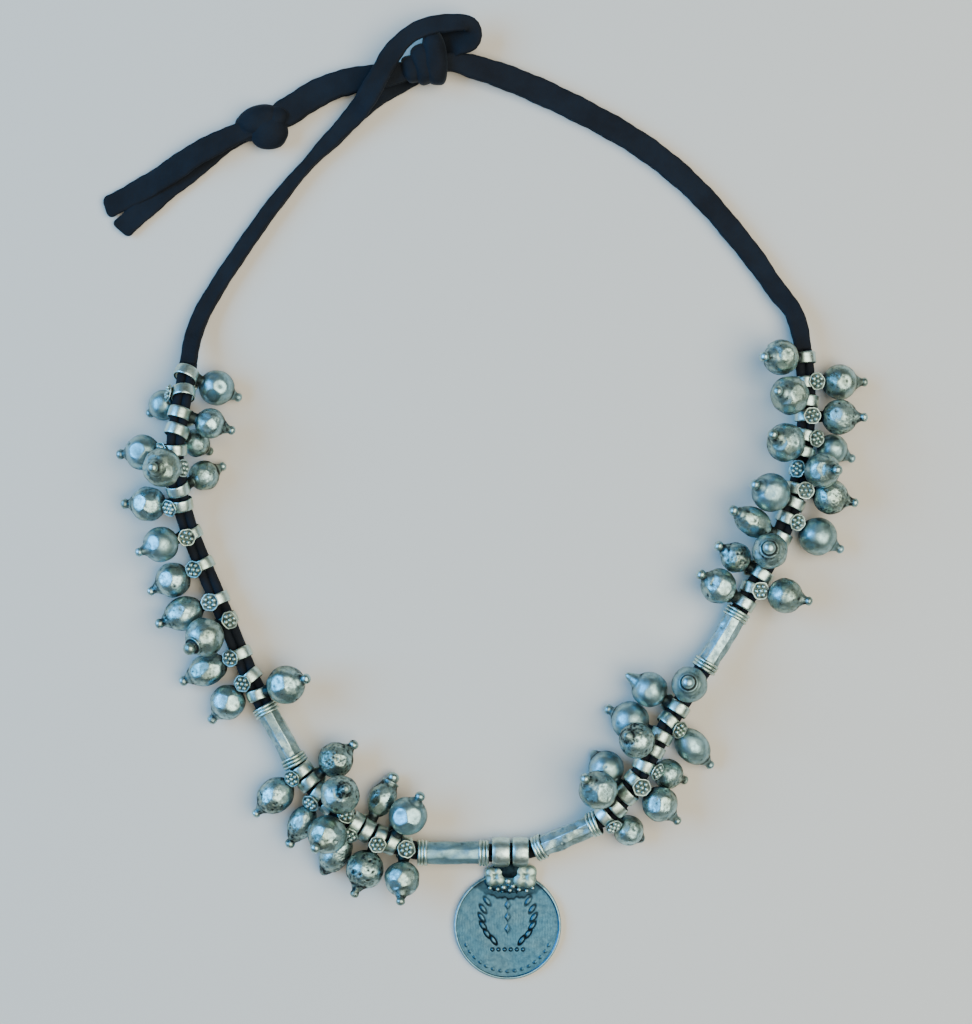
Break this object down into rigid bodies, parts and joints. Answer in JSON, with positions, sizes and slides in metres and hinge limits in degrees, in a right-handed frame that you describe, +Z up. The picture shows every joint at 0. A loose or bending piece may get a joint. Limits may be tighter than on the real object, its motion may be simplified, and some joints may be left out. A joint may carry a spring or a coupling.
{
  "type": "coin necklace",
  "caption": "Folk necklace of silver ball drops and tube beads on a doubled soft black cord, with a coin pendant on a double bail and a loop-and-knot closing, lying open and flat.",
  "frame": {"origin": "middle of the neck opening, on the surface that the necklace lies on", "axes": "+Z up from the surface, -Y from the neck opening towards the coin, +X to the right as seen from above with the coin nearest"},
  "size_m": [0.1989, 0.2517, 0.027],
  "materials": {
    "old_silver": "hand-hammered, worn bright with dark tarnish in the hollows",
    "coin_silver": "worn satin coin metal with dark solder at the bail",
    "black_cord": "soft matt black knitted cord"
  },
  "bodies": {
    "root": {"drops_left_upper": "old_silver", "drops_left_lower": "old_silver", "drops_right_lower": "old_silver", "drops_right_upper": "old_silver", "tube_bead_left_upper": "old_silver", "tube_bead_left_lower": "old_silver", "tube_bead_right_lower": "old_silver", "tube_bead_right_upper": "old_silver", "coin_pendant": "coin_silver", "strung_cord": "black_cord", "neck_cord_left": "black_cord", "neck_cord_right": "black_cord", "closing_loop": "black_cord", "tail_cord": "black_cord", "tail_upper": "black_cord", "tail_lower": "black_cord", "closing_knot": "black_cord", "stop_knot": "black_cord"}
  },
  "joints": []
}
